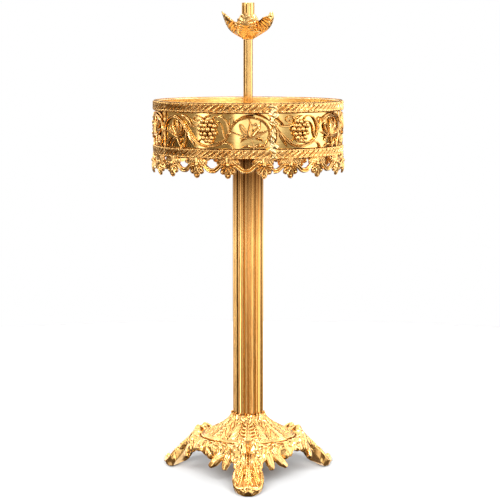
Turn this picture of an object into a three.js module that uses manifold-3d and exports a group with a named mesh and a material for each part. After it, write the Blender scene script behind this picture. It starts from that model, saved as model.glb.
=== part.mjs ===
// Brass sand candle stand: a tripod base and leafed dome, a fluted column, a round sand pan wrapped in
// pierced gallery castings, and a thin stem that carries a leaf cup with a candle socket.
// Millimetres, +Z up. The origin is on the column's axis, at the level of the floor. The front is -Y.

import * as THREE from "three";
import { mergeVertices } from "three/addons/utils/BufferGeometryUtils.js";
import Module from "manifold-3d";

const wasm = await Module();
wasm.setup();

// ---- driving dimensions ----
const GAP = 0.3; // clearance between pieces that touch
const TOTAL_HEIGHT = 1000;

const ROD_RADIUS = 5; // M10 tie rod
const THREAD_HOLE = ROD_RADIUS + GAP; // a hole that the rod screws into
const ROD_HOLE = ROD_RADIUS + 0.6; // a hole that the rod passes through

const FOOT_REACH = 208; // from the axis to a toe's tip
const PLATE_TOP = 86; // upper face of the tripod's plate
const PLATE_THICKNESS = 6;
const PLATE_RADIUS = 98;

const DOME_RIM_RADIUS = 100.5;
const COLUMN_SEAT = 126; // shelf inside the dome's collar that the column stands on
const DOME_TOP = 133;

const COLUMN_RADIUS = 32.3;
const COLUMN_BORE = 28.3;
const FLUTES = 24;
const FLUTE_DEPTH = 1.9;
const COLUMN_TOP = 690;

const PAN_FLOOR = 700; // upper face of the pan's floor
const PAN_SHEET = 1.8;
const PAN_RADIUS = 193.3;
const PAN_RIM = 797.5;

const GALLERY_INNER = 194.3;
const GALLERY_OUTER = 198.5;
const GALLERY_TOP = 799;
const GALLERY_BOTTOM = 686;
const RAIL_HEIGHT = 21.5;
const FRINGE_BOTTOM = 647;
const PANEL_ANGLE = 75; // degrees of the drum that a whole gallery casting covers
const PANEL_STARTS = [-60, 75, 150, 225]; // degrees to the right of the front, whole castings
const CUT_PANEL_START = -3; // the last casting is cut from a longer one to close the ring
const CUT_PANEL_SPAN = [18, 78]; // the stretch of the pattern that it keeps
const PENDANT_ANGLES = [9, 28.5, 48.2, 69.3];
const LEAF_CENTRES = [9.5, 61];
const GRAPE_CENTRE = 35;

const STEM_RADIUS = 10;
const STEM_BORE = 8.5;
const STEM_BOTTOM = 712;
const CUP_BOTTOM = 924;
const CUP_LEAVES = 4;
const CUP_TURN = -5; // degrees that the leaf cup is turned from square
const SPACER_TOP = 938.5;

const SOCKET_RADIUS = 13.4;
const SOCKET_BORE = 11.75; // takes a 22 mm candle
const SOCKET_FLOOR = 955;

// ---- materials ----
const castBrass = new THREE.MeshStandardMaterial({ color: 0xe2a84c, metalness: 1, roughness: 0.28 });
const tubeBrass = new THREE.MeshStandardMaterial({ color: 0xdca050, metalness: 1, roughness: 0.24 });
const sheetBrass = new THREE.MeshStandardMaterial({ color: 0xe8b860, metalness: 1, roughness: 0.32 });
const steel = new THREE.MeshStandardMaterial({ color: 0x9a9ca0, metalness: 1, roughness: 0.4 });

// ---- helpers ----
const radians = THREE.MathUtils.degToRad;

// A closed three.js geometry as a solid with its faces pointing out.
function solid(geometry) {
  const bare = geometry.clone();
  bare.deleteAttribute("normal");
  bare.deleteAttribute("uv");
  const merged = mergeVertices(bare, 1e-3);
  const make = (triVerts) =>
    new wasm.Manifold(
      new wasm.Mesh({ numProp: 3, vertProperties: merged.attributes.position.array, triVerts }),
    );
  const triVerts = new Uint32Array(merged.index.array);
  const made = make(triVerts);
  return made.volume() > 0 ? made : make(triVerts.reverse());
}

function geometryOf(made) {
  const { vertProperties, triVerts, numProp } = made.getMesh();
  const position = new Float32Array((vertProperties.length / numProp) * 3);
  for (let i = 0; i * numProp < vertProperties.length; i++) {
    position.set(vertProperties.subarray(i * numProp, i * numProp + 3), i * 3);
  }
  const geometry = new THREE.BufferGeometry();
  geometry.setAttribute("position", new THREE.BufferAttribute(position, 3));
  geometry.setIndex(new THREE.BufferAttribute(triVerts, 1));
  return geometry;
}

const union = (solids) => solids.reduce((sum, one) => sum.add(one));

// A turned solid about Z from a closed outline of [radius, height] points.
function turned(outline, segments = 30) {
  const points = [...outline, outline[0]].map(([r, z]) => new THREE.Vector2(r, z));
  return solid(new THREE.LatheGeometry(points, segments).rotateX(Math.PI / 2));
}

// A flat outline in XY, raised from z0 to z1.
function raised(points, z0, z1) {
  const shape = new THREE.Shape(points.map(([x, y]) => new THREE.Vector2(x, y)));
  const options = { depth: z1 - z0, bevelEnabled: false };
  return solid(new THREE.ExtrudeGeometry(shape, options).translate(0, 0, z0));
}

// An outline of [outward, height] points in the XZ plane, made width thick across Y.
function sideways(outline, width) {
  const shape = new THREE.Shape(outline.map(([x, z]) => new THREE.Vector2(x, z)));
  const options = { depth: width, bevelEnabled: false };
  return solid(new THREE.ExtrudeGeometry(shape, options).translate(0, 0, -width / 2).rotateX(Math.PI / 2));
}

// An outline of [across, height] points facing +X, made from x0 to x1.
function facing(outline, x0, x1) {
  const shape = new THREE.Shape(outline.map(([y, z]) => new THREE.Vector2(y, z)));
  const geometry = new THREE.ExtrudeGeometry(shape, { depth: x1 - x0, bevelEnabled: false });
  return solid(geometry.rotateX(Math.PI / 2).rotateZ(Math.PI / 2).translate(x0, 0, 0));
}

// Both halves of an outline that is given as [station, half width] pairs.
const mirrored = (half) => [
  ...half.map(([s, w]) => [s, w]),
  ...[...half].reverse().map(([s, w]) => [s, -w]),
];

// A copy turned about Z by degrees.
const spun = (made, degrees) => made.rotate([0, 0, degrees]);

// A wedge of a ring between two radii, from angle a0 to a1 to the right of the front, in degrees.
function ringWedge(r0, r1, a0, a1, z0, z1, step = 9.4) {
  const steps = Math.ceil((a1 - a0) / step);
  const arc = (r) =>
    Array.from({ length: steps + 1 }, (_, i) => {
      const a = radians(a0 + ((a1 - a0) * i) / steps);
      return [r * Math.sin(a), -r * Math.cos(a)];
    });
  return raised([...arc(r0), ...arc(r1).reverse()], z0, z1);
}

// A point on the drum, at an angle to the right of the front.
const onDrum = (degrees, z, r) =>
  new THREE.Vector3(r * Math.sin(radians(degrees)), -r * Math.cos(radians(degrees)), z);

// A strip of metal along points, with a rectangular section.
function strip(points, width, thickness, steps) {
  const half = [width / 2, thickness / 2];
  const corners = [[-1, -1], [1, -1], [1, 1], [-1, 1]];
  const shape = new THREE.Shape(corners.map(([a, b]) => new THREE.Vector2(a * half[0], b * half[1])));
  const extrudePath = new THREE.CatmullRomCurve3(points);
  return solid(new THREE.ExtrudeGeometry(shape, { steps, extrudePath, bevelEnabled: false }));
}

const root = new THREE.Group();

function add(name, made, material) {
  const mesh = new THREE.Mesh(geometryOf(made), material);
  mesh.name = name;
  root.add(mesh);
}

// ---- base ----

// One leg along +X: a leaf-shaped casting that falls in an S and ends in a rounded, upturned toe.
function leg() {
  const profile = [
    [60, PLATE_TOP], [101.5, PLATE_TOP], [105, 88.5], [118, 86.5], [135, 77], [150, 64], [163, 49.5],
    [173, 35], [182, 23], [191, 18], [201, 18.5], [FOOT_REACH, 13], [204, 4], [199, 0], [184, 0],
    [177, 7], [167, 24], [154, 45], [135, 61], [122, 69], [60, 72],
  ];
  const plan = mirrored([
    [60, 30], [98, 44], [118, 37], [148, 24.5], [176, 32], [190, 32.5], [203, 24], [FOOT_REACH, 8],
  ]);
  return sideways(profile, 120).intersect(raised(plan, -10, 110));
}

// The two leaf tips that hang from the apron on one side of a leg along +X.
function leafTips(side) {
  const tip = (angle, lean) => {
    const geometry = new THREE.SphereGeometry(1, 6, 4).scale(8, 6.5, 18);
    geometry.rotateX(radians(lean)).rotateY(radians(-32)).translate(123, 0, 52);
    return spun(solid(geometry), angle);
  };
  return tip(side * 24, 0).add(tip(side * 37, side * 35));
}

function tripodBase() {
  const apron = turned([
    [ROD_HOLE, PLATE_TOP - PLATE_THICKNESS], [95, PLATE_TOP - PLATE_THICKNESS], [107, 53], [114, 53],
    [116, 75], [PLATE_RADIUS + 6, PLATE_TOP], [ROD_HOLE, PLATE_TOP],
  ]);
  const archRadius = 34;
  const arch = solid(
    new THREE.CylinderGeometry(archRadius, archRadius, 60, 14).rotateZ(Math.PI / 2).translate(110, 0, 35),
  );
  const legAngles = [-90, 30, 150];
  const body = union([
    apron.subtract(union(legAngles.map((a) => spun(arch, a + 60)))),
    ...legAngles.map((a) => spun(union([leg(), leafTips(1), leafTips(-1)]), a)),
  ]);
  const boltHole = solid(new THREE.CylinderGeometry(ROD_HOLE, ROD_HOLE, 60, 16).rotateX(Math.PI / 2));
  return body.subtract(boltHole.translate([0, 0, PLATE_TOP - 10]));
}

function baseDome() {
  return turned([
    [ROD_HOLE, COLUMN_SEAT - 6], [27, COLUMN_SEAT - 6], [42, 113], [57, 102], [76, 92],
    [91, PLATE_TOP + GAP], [DOME_RIM_RADIUS - 2, PLATE_TOP + GAP], [DOME_RIM_RADIUS, 90.5], [94, 91.5],
    [79, 97], [61, 107], [46, 119], [38.5, 127], [36, DOME_TOP], [COLUMN_RADIUS + 0.4, DOME_TOP],
    [COLUMN_RADIUS + 0.4, COLUMN_SEAT], [ROD_HOLE, COLUMN_SEAT],
  ]);
}

function washer() {
  const top = PLATE_TOP - PLATE_THICKNESS - GAP;
  return turned([[ROD_HOLE, top - 3], [22, top - 3], [22, top], [ROD_HOLE, top]], 20);
}

function hexNut() {
  const top = PLATE_TOP - PLATE_THICKNESS - 3 - 2 * GAP;
  const across = 17; // M10, across flats
  const corner = across / Math.sqrt(3);
  const points = Array.from({ length: 6 }, (_, i) => [
    corner * Math.cos((i * Math.PI) / 3),
    corner * Math.sin((i * Math.PI) / 3),
  ]);
  const hole = solid(new THREE.CylinderGeometry(THREAD_HOLE, THREAD_HOLE, 30, 16).rotateX(Math.PI / 2));
  return raised(points, top - 8, top).subtract(hole.translate([0, 0, top - 4]));
}

// ---- column ----

// The column's section: round flutes with a narrow flat between them.
function columnTube() {
  const stations = [[0, 0], [0.14, 0], [0.38, 0.9], [0.76, 0.9]]; // share of a flute, and of its depth
  const outer = [];
  for (let flute = 0; flute < FLUTES; flute++) {
    for (const [along, depth] of stations) {
      const a = ((flute + along) / FLUTES) * 2 * Math.PI;
      const r = COLUMN_RADIUS - FLUTE_DEPTH * depth;
      outer.push([r * Math.cos(a), r * Math.sin(a)]);
    }
  }
  const bore = solid(new THREE.CylinderGeometry(COLUMN_BORE, COLUMN_BORE, 600, 24).rotateX(Math.PI / 2));
  const bottom = COLUMN_SEAT + GAP;
  return raised(outer, bottom, COLUMN_TOP).subtract(bore.translate([0, 0, (bottom + COLUMN_TOP) / 2]));
}

// A disc inside an end of the column that keeps the tie rod on the axis.
function columnPlug(z) {
  const r = COLUMN_BORE - GAP;
  return turned([[ROD_HOLE, z], [r, z], [r, z + 8], [ROD_HOLE, z + 8]], 24);
}

function tieRod() {
  const bottom = 62;
  const top = SOCKET_FLOOR - 6;
  const geometry = new THREE.CylinderGeometry(ROD_RADIUS, ROD_RADIUS, top - bottom, 16);
  return solid(geometry.rotateX(Math.PI / 2).translate(0, 0, (top + bottom) / 2));
}

// ---- drum ----

function panFlange() {
  const top = PAN_FLOOR - PAN_SHEET - GAP;
  const collar = COLUMN_RADIUS + 0.4;
  return turned([
    [ROD_HOLE, COLUMN_TOP + GAP], [collar, COLUMN_TOP + GAP], [collar, 680], [37, 680], [41, 686],
    [60, 692], [60, top], [ROD_HOLE, top],
  ], 24);
}

function sandPan() {
  const under = PAN_FLOOR - PAN_SHEET;
  const inner = PAN_RADIUS - PAN_SHEET;
  return turned([
    [ROD_HOLE, under], [PAN_RADIUS - 3, under], [PAN_RADIUS, under + 3], [PAN_RADIUS, PAN_RIM],
    [inner - 1.5, PAN_RIM], [inner - 1.5, PAN_RIM - 2], [inner, PAN_RIM - 4],
    [inner, PAN_FLOOR + 3], [inner - 3, PAN_FLOOR], [ROD_HOLE, PAN_FLOOR],
  ], 40);
}

function panBoss() {
  const bottom = PAN_FLOOR + GAP;
  const seat = STEM_RADIUS + GAP;
  return turned([
    [THREAD_HOLE, bottom], [28, bottom], [28, bottom + 4], [15, bottom + 9], [14, 725], [seat, 725],
    [seat, STEM_BOTTOM - GAP], [THREAD_HOLE, STEM_BOTTOM - GAP],
  ], 20);
}

const zMid = (GALLERY_TOP + GALLERY_BOTTOM) / 2;
const rMid = (GALLERY_INNER + GALLERY_OUTER) / 2;

// A lobed leaf or pendant on the drum's face, from [across, height] points.
const leafPlate = (outline, degrees) =>
  spun(facing(outline, GALLERY_INNER, GALLERY_OUTER - 0.5), degrees - 90);

// The stem that waves between the rails, over each leaf and under the grapes.
function waveStem(from, to) {
  const period = LEAF_CENTRES[1] - LEAF_CENTRES[0];
  const amplitude = 34;
  const points = [];
  for (let a = from - 2; a <= to + 4; a += 3) {
    const phase = (2 * Math.PI * (a - LEAF_CENTRES[0])) / period;
    points.push(onDrum(a, zMid + amplitude * Math.cos(phase), rMid));
  }
  return strip(points, 3.4, 4.2, 11);
}

// A scroll that curls round a leaf or a bunch of grapes, between two turns counted from its right side.
function scroll(centre, radius, startTurn, endTurn) {
  const points = Array.from({ length: 7 }, (_, i) => {
    const t = 2 * Math.PI * (startTurn + ((endTurn - startTurn) * i) / 6);
    const across = radius * Math.cos(t);
    return onDrum(centre + THREE.MathUtils.radToDeg(across / rMid), zMid + radius * Math.sin(t), rMid);
  });
  return strip(points, 3, 4, 6);
}

function grapes(centre) {
  const geometry = new THREE.SphereGeometry(1, 8, 4).scale(2.4, 24, 31);
  geometry.translate(rMid + 0.2, 0, zMid - 6);
  return spun(solid(geometry), centre - 90);
}

// The strip that dips under the lower rail between pendants.
function swag(stations) {
  const points = stations.slice(1).flatMap((to, i) => {
    const from = stations[i];
    return [0, 0.3, 0.7].map((t) => {
      const drop = 22 * Math.sin(Math.PI * t);
      return onDrum(from + (to - from) * t, GALLERY_BOTTOM - 5 - drop, rMid);
    });
  });
  return strip(points, 3.4, 4.2, points.length - 1);
}

// A gallery casting: two rails, the pierced vine between them and the fringe below. Its pattern starts at
// patternStart degrees, and the casting covers the stretch between two angles of that pattern.
function galleryPanel(patternStart, [from, to]) {
  const kept = (a) => a > from + 4;
  const railAt = (z) => ringWedge(GALLERY_INNER, GALLERY_OUTER, from, to, z, z + RAIL_HEIGHT);
  const pendant = [
    [-5, GALLERY_BOTTOM + 3], [-14.5, 668], [0, FRINGE_BOTTOM], [14.5, 668], [5, GALLERY_BOTTOM + 3],
  ];
  const leaf = [
    [0, zMid + 37], [-20, zMid + 13], [-4, zMid - 37], [4, zMid - 37], [20, zMid + 13],
  ];
  const pendants = PENDANT_ANGLES.filter(kept);
  const spacing = PENDANT_ANGLES[1] - PENDANT_ANGLES[0];
  const swagStations = [pendants[0] - spacing, ...pendants, pendants.at(-1) + spacing, to + spacing];
  const parts = [
    railAt(GALLERY_TOP - RAIL_HEIGHT),
    railAt(GALLERY_BOTTOM),
    waveStem(from, to),
    scroll(GRAPE_CENTRE, 29, -0.2, 0.5),
    grapes(GRAPE_CENTRE),
    ...LEAF_CENTRES.filter(kept).map((a) => leafPlate(leaf, a)),
    ...LEAF_CENTRES.filter(kept).map((a) => scroll(a, 31, -0.25, 0.45)),
    ...pendants.map((a) => leafPlate(pendant, a)),
    swag(swagStations),
  ];
  const cut = THREE.MathUtils.radToDeg(GAP / 2 / GALLERY_INNER);
  const wedge = ringWedge(150, 260, from + cut, to - cut, 600, 820, 40);
  return spun(union(parts).intersect(wedge), patternStart);
}

// ---- stem, leaf cup and socket ----

function stemTube() {
  const bottom = STEM_BOTTOM;
  const top = CUP_BOTTOM - GAP;
  return turned([[STEM_BORE, bottom], [STEM_RADIUS, bottom], [STEM_RADIUS, top], [STEM_BORE, top]], 24);
}

// One leaf of the cup along +X, curving outwards as it rises.
function cupLeaf() {
  const outside = [[12, 926], [22, 932.5], [33, 940], [43, 950], [50, 964], [55.5, 982]];
  const inside = [[53, 982.5], [47.3, 965], [40.6, 952], [31, 942.6], [12, 930]];
  const face = mirrored([[920, 9], [936, 14], [949, 20], [964, 20], [978, 10], [983, 3]]).map(
    ([z, y]) => [y, z],
  );
  return sideways([...outside, ...inside], 60).intersect(facing(face, 0, 70));
}

function leafCup() {
  const bowl = turned([
    [ROD_HOLE, CUP_BOTTOM], [11, CUP_BOTTOM], [14, 929], [31, 941.5], [30, 944],
    [21, 938.5], [12, 930], [ROD_HOLE, 930],
  ], 20);
  const leaves = Array.from({ length: CUP_LEAVES }, (_, i) => spun(cupLeaf(), -90 + i * 90 + CUP_TURN));
  const throughHole = solid(new THREE.CylinderGeometry(10.5, 10.5, 40, 16).rotateX(Math.PI / 2));
  return bowl.add(union(leaves).subtract(throughHole.translate([0, 0, 940])));
}

// The candle socket's body, which screws onto the tie rod and holds the socket's tube.
function socketBell() {
  const seat = SPACER_TOP + GAP;
  const bore = SOCKET_RADIUS + GAP;
  return turned([
    [THREAD_HOLE, seat], [18, seat + 1.5], [22.5, 947], [24.5, 955], [23, 962], [17.5, 972],
    [15.8, 976], [bore, 976], [bore, SOCKET_FLOOR], [ROD_RADIUS / 2, SOCKET_FLOOR],
    [ROD_RADIUS / 2, SOCKET_FLOOR - 5], [THREAD_HOLE, SOCKET_FLOOR - 5],
  ], 24);
}

function socketTube() {
  const bottom = SOCKET_FLOOR + GAP;
  return turned([
    [SOCKET_BORE, bottom], [SOCKET_RADIUS, bottom], [SOCKET_RADIUS, TOTAL_HEIGHT],
    [SOCKET_BORE, TOTAL_HEIGHT],
  ], 24);
}

// The spacer ring between the leaf cup's floor and the socket's body.
function cupSpacer() {
  const bottom = 930 + GAP;
  return turned([[ROD_HOLE, bottom], [9.5, bottom], [9.5, SPACER_TOP], [ROD_HOLE, SPACER_TOP]], 20);
}

// ---- assembly ----
add("tripod_base", tripodBase(), castBrass);
add("base_dome", baseDome(), castBrass);
add("base_washer", washer(), steel);
add("base_nut", hexNut(), steel);
add("column_tube", columnTube(), tubeBrass);
add("column_plug_lower", columnPlug(COLUMN_SEAT + 2 * GAP), tubeBrass);
add("column_plug_upper", columnPlug(COLUMN_TOP - 9), tubeBrass);
add("tie_rod", tieRod(), steel);
add("pan_flange", panFlange(), castBrass);
add("sand_pan", sandPan(), sheetBrass);
add("pan_boss", panBoss(), castBrass);
PANEL_STARTS.forEach((start, i) => {
  add(`gallery_panel_${i + 1}`, galleryPanel(start, [0, PANEL_ANGLE]), castBrass);
});
add("gallery_panel_cut", galleryPanel(CUT_PANEL_START, CUT_PANEL_SPAN), castBrass);
add("stem_tube", stemTube(), tubeBrass);
add("leaf_cup", leafCup(), castBrass);
add("cup_spacer", cupSpacer(), tubeBrass);
add("socket_bell", socketBell(), castBrass);
add("socket_tube", socketTube(), tubeBrass);

export default root;
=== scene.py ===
"""Looks for the brass sand candle stand: ornament, turned and sheet pieces, materials, light and camera.

Shapes are worked out in millimetres and scaled to metres when a piece is made. Angles round the stand are
degrees to the right of the front, which is -Y. Ornament on the drum is drawn on a flat sheet first, as
(along the drum, height, outward), and is then wrapped round it.
"""

import math
import random

import bmesh
import bpy
import numpy as np
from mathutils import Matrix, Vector


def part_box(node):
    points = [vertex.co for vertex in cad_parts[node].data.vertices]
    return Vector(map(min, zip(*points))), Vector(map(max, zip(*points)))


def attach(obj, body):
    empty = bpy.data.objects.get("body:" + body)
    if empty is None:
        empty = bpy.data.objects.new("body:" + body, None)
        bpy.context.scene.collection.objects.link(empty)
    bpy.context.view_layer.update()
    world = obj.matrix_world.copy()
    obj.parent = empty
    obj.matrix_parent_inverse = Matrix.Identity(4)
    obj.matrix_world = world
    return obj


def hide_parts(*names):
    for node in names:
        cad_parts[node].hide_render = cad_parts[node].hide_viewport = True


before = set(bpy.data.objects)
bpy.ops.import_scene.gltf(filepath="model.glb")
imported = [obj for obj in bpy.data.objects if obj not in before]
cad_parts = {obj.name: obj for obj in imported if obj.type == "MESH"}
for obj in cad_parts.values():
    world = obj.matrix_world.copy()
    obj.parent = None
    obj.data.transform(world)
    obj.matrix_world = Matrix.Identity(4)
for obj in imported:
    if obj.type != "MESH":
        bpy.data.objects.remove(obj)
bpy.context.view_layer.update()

TAU = 2 * math.pi
MM = 0.001

# ---- sizes, from the CAD nodes' boxes ----


def box_mm(node):
    low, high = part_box(node)
    return np.array(low) * 1000, np.array(high) * 1000


DRUM_TOP = box_mm("gallery_panel_1")[1][2]
PAN_LOW, PAN_HIGH = box_mm("sand_pan")
COLUMN_LOW, COLUMN_HIGH = box_mm("column_tube")
DOME_LOW, DOME_HIGH = box_mm("base_dome")
BASE_LOW = box_mm("tripod_base")[0]
STEM_LOW, STEM_HIGH = box_mm("stem_tube")
CUP_LOW = box_mm("leaf_cup")[0]
BELL_LOW, BELL_HIGH = box_mm("socket_bell")
TUBE_LOW, TUBE_HIGH = box_mm("socket_tube")
FLANGE_TOP = box_mm("pan_flange")[1][2]
BOSS_LOW = box_mm("pan_boss")[0]

PAN_RADIUS = PAN_HIGH[0]
DRUM_BACK = PAN_RADIUS + 1.2  # radius of the back of the gallery castings
RAIL = 21.5  # height of a rope rail
UPPER_RAIL = DRUM_TOP - RAIL
LOWER_RAIL = DRUM_TOP - 113  # underside of the lower rail
PATTERN_FOOT = 686  # the same underside, as the pattern is drawn
VINE_LOW, VINE_HIGH = LOWER_RAIL + RAIL, UPPER_RAIL
PER_DEGREE = math.radians(DRUM_BACK + 2)  # millimetres along the drum for one degree

# ---- numbers and curves ----


def smooth(low, high, x):
    """0 up to low and 1 from high on, with a smooth step between."""
    t = np.clip((np.asarray(x, float) - low) / (high - low), 0, 1)
    return t * t * (3 - 2 * t)


def bump(x, centre, width):
    """A bell curve that is 1 at its centre."""
    return np.exp(-(((np.asarray(x, float) - centre) / width) ** 2))


def curve(points, count):
    """A Catmull-Rom curve through the points, as count points evenly spaced along it."""
    p = np.array(points, float)
    p = np.vstack([2 * p[0] - p[1], p, 2 * p[-1] - p[-2]])
    t = np.linspace(0, 1, 13)[:-1, None]
    fine = []
    for a, b, c, d in zip(p, p[1:], p[2:], p[3:]):
        square, cube = 2 * a - 5 * b + 4 * c - d, 3 * b - a - 3 * c + d
        fine.append(0.5 * (2 * b + (c - a) * t + square * t**2 + cube * t**3))
    fine = np.vstack([*fine, p[-2][None]])
    length = np.r_[0, np.cumsum(np.linalg.norm(np.diff(fine, axis=0), axis=1))]
    at = np.linspace(0, length[-1], count)
    return np.stack([np.interp(at, length, fine[:, i]) for i in range(fine.shape[1])], axis=1)


def along(values, count):
    """A value at count places over a length: from a function of 0 to 1, or from values spread evenly."""
    if callable(values):
        return np.asarray(values(np.linspace(0, 1, count)))
    values = np.atleast_1d(np.asarray(values, float))
    if len(values) == 1:
        return np.full(count, values[0])
    return np.interp(np.linspace(0, 1, count), np.linspace(0, 1, len(values)), values)


def uphill(path):
    """Unit vectors square to a path of (radius, height), upwards where the path runs outwards."""
    tangent = np.gradient(path, axis=0)
    tangent /= np.linalg.norm(tangent, axis=1, keepdims=True)
    return np.stack([-tangent[:, 1], tangent[:, 0]], axis=1)


def swung(r, across, z, turn):
    """Points at a radius, a distance across it to the right, and a height, swung round by turn degrees."""
    s, c = math.sin(math.radians(turn)), math.cos(math.radians(turn))
    return np.stack([r * s + across * c, -r * c + across * s, z], axis=-1)


def raised(low, outline):
    """An outline of (radius, height) with its heights measured from low."""
    return [(r, low + z) for r, z in outline]


def polar(radius, degrees, z):
    """The point at a radius, an angle round the stand and a height."""
    a = np.radians(degrees)
    return np.stack(np.broadcast_arrays(radius * np.sin(a), -radius * np.cos(a), z), axis=-1)


# ---- meshes ----


class Skin:
    """Closed shells gathered into one mesh, in millimetres."""

    def __init__(self):
        self.verts, self.faces, self.count = [], [], 0

    def add(self, verts, faces):
        self.verts.append(np.asarray(verts, float))
        self.faces.extend([[i + self.count for i in f] for f in faces])
        self.count += len(verts)

    def rings(self, rings, closed=False):
        """Joins rings of points, each closed on itself, and caps the ends unless the rings close up too."""
        rings = np.asarray(rings, float)
        n, k = rings.shape[:2]
        steps = n if closed else n - 1
        i, j = np.meshgrid(np.arange(steps), np.arange(k), indexing="ij")
        i2, j2 = (i + 1) % n, (j + 1) % k
        quads = np.stack([i * k + j, i * k + j2, i2 * k + j2, i2 * k + j], axis=-1).reshape(-1, 4).tolist()
        if not closed:
            quads += [list(range(k))[::-1], [(n - 1) * k + a for a in range(k)]]
        self.add(rings.reshape(-1, 3), quads)

    def blade(self, path, width, height, shape, normal=(0, 0, 1), depth=0.6, step=1.1, top=9):
        """A raised strip: half width and height along its path, and shape(t) across it from -1 to 1."""
        path = np.array([[*p, *([0] * (3 - len(p)))] for p in path], float)
        length = np.linalg.norm(np.diff(path, axis=0), axis=1).sum()
        n = max(6, int(length / step) + 2)
        p = curve(path, n)
        tangent = np.gradient(p, axis=0)
        normal = np.array(normal, float)
        normal = np.broadcast_to(normal, p.shape) if normal.ndim == 1 else curve(normal, n)
        side = np.cross(tangent, normal)
        side /= np.linalg.norm(side, axis=1, keepdims=True)
        up = np.cross(side, tangent)
        up /= np.linalg.norm(up, axis=1, keepdims=True)
        w, h = along(width, n)[:, None], along(height, n)[:, None]
        t = np.linspace(-1, 1, top)
        t = np.sign(t) * np.abs(t) ** 0.8
        rise = shape(t)[None, :] * h
        front = p[:, None] + side[:, None] * (t[None, :] * w)[..., None] + up[:, None] * rise[..., None]
        back_t = np.array([0.92, 0, -0.92])
        back = p[:, None] + side[:, None] * (back_t[None, :] * w)[..., None] - up[:, None] * depth
        self.rings(np.concatenate([front, back], axis=1))

    def ball(self, centre, radius, squash=1.0, around=12, up=8):
        a = np.arange(around) * TAU / around
        b = np.linspace(0, math.pi, up + 1)[1:-1]
        rings = np.stack([np.outer(np.sin(b), np.cos(a)), np.outer(np.sin(b), np.sin(a)),
                          np.outer(np.cos(b), np.ones(around)) * squash], axis=-1) * radius
        poles = [[0, 0, radius * squash], [0, 0, -radius * squash]]
        verts = np.vstack([rings.reshape(-1, 3), poles]) + centre
        faces = []
        for i in range(up - 2):
            for j in range(around):
                k = (j + 1) % around
                faces.append([i * around + j, (i + 1) * around + j, (i + 1) * around + k, i * around + k])
        last, n = (up - 2) * around, (up - 1) * around
        for j in range(around):
            k = (j + 1) % around
            faces += [[n, j, k], [n + 1, last + k, last + j]]
        self.add(verts, faces)

    def turned(self, outline, segments=96):
        """Turns a closed outline of (radius, height) about the axis."""
        r, z = np.array(outline, float).T
        degrees = np.arange(segments) * 360 / segments
        self.rings(polar(r[None, :], degrees[:, None], z[None, :]), closed=True)

    def points(self):
        return np.vstack(self.verts)


def obj_from(name, verts, faces, smooth_angle=50):
    """A mesh object in metres, with its faces pointing out and creases sharper than smooth_angle kept."""
    mesh = bpy.data.meshes.new(name)
    mesh.from_pydata((np.asarray(verts) * MM).tolist(), [], faces)
    bm = bmesh.new()
    bm.from_mesh(mesh)
    bmesh.ops.recalc_face_normals(bm, faces=bm.faces)
    for f in bm.faces:
        f.smooth = True
    limit = math.radians(smooth_angle)
    for e in bm.edges:
        e.smooth = not (len(e.link_faces) == 2 and e.calc_face_angle(0) > limit)
    bm.to_mesh(mesh)
    bm.free()
    piece = bpy.data.objects.new(name, mesh)
    bpy.context.scene.collection.objects.link(piece)
    return piece


def finish_piece(piece, slot, material, *nodes):
    """Gives a piece its material and body, and hides the CAD nodes that it stands for. The slot is not used.
    """
    piece.data.materials.clear()
    piece.data.materials.append(material)
    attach(piece, "root")
    if nodes:
        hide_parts(*nodes)
    return piece


def make(name, skin, slot, material, *nodes, angle=50):
    """Makes a skin into a finished piece."""
    return finish_piece(obj_from(name, skin.points(), skin.faces, angle), slot, material, *nodes)


def make_turned(name, outline, segments, slot, material, node, angle=50):
    skin = Skin()
    skin.turned(outline, segments)
    return make(name, skin, slot, material, node, angle=angle)


def remeshed(piece, voxel):
    """Fuses a piece's shells into one skin, as in a casting."""
    change = piece.modifiers.new("fuse", "REMESH")
    change.mode, change.voxel_size, change.use_smooth_shade = "VOXEL", voxel * MM, True
    ease = piece.modifiers.new("ease", "SMOOTH")
    ease.factor, ease.iterations = 0.5, 1
    made = bpy.data.meshes.new_from_object(piece.evaluated_get(bpy.context.evaluated_depsgraph_get()))
    piece.modifiers.clear()
    piece.data = made
    for f in made.polygons:
        f.use_smooth = True
    return piece


# Sections across a blade, from -1 to 1.
def round_section(t):
    return np.sqrt(np.clip(1 - t**2, 0, 1))


def grooved_section(t):
    return round_section(t) * (1 - 0.5 * bump(t, 0, 0.3))


def band_section(t):
    return (1 - np.abs(t) ** 6) * (1 - 0.16 * bump(t, 0, 0.25))


def double_section(t):
    return (1 - np.abs(t) ** 6) * (1 - 0.55 * bump(t, 0, 0.28))


def leaf_section(t):
    return (1 - np.abs(t) ** 2.2) * (1 - 0.55 * bump(t, 0, 0.16)) + 0.12


def dished_section(t):
    return 0.35 + 0.65 * bump(np.abs(t), 0.72, 0.3) - 0.35 * smooth(0.85, 1, np.abs(t))


def pointed(width, blunt=0.75, base=0.25):
    """Half width of a leaf lobe: narrow at its base, widest in the middle, and pointed."""
    return lambda s: width * (base * (1 - s) + np.sin(math.pi * np.clip(s, 0, 1) ** blunt) ** 0.8) + 0.15


def spoon(width):
    """Half width of a rounded lobe."""
    return lambda s: width * (0.35 + 0.65 * smooth(0, 0.55, s)) * np.sqrt(np.clip(1.02 - s**6, 0, 1)) + 0.1


def arched(size, start, share, power=1.0):
    """A size that rises and falls along a blade, as a share of a half sine wave does from start on."""
    return lambda s: size * np.sin(math.pi * (start + share * s)) ** power


# ---- the gallery's casting, drawn flat: one length of pattern from 0 to 78 degrees ----


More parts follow.
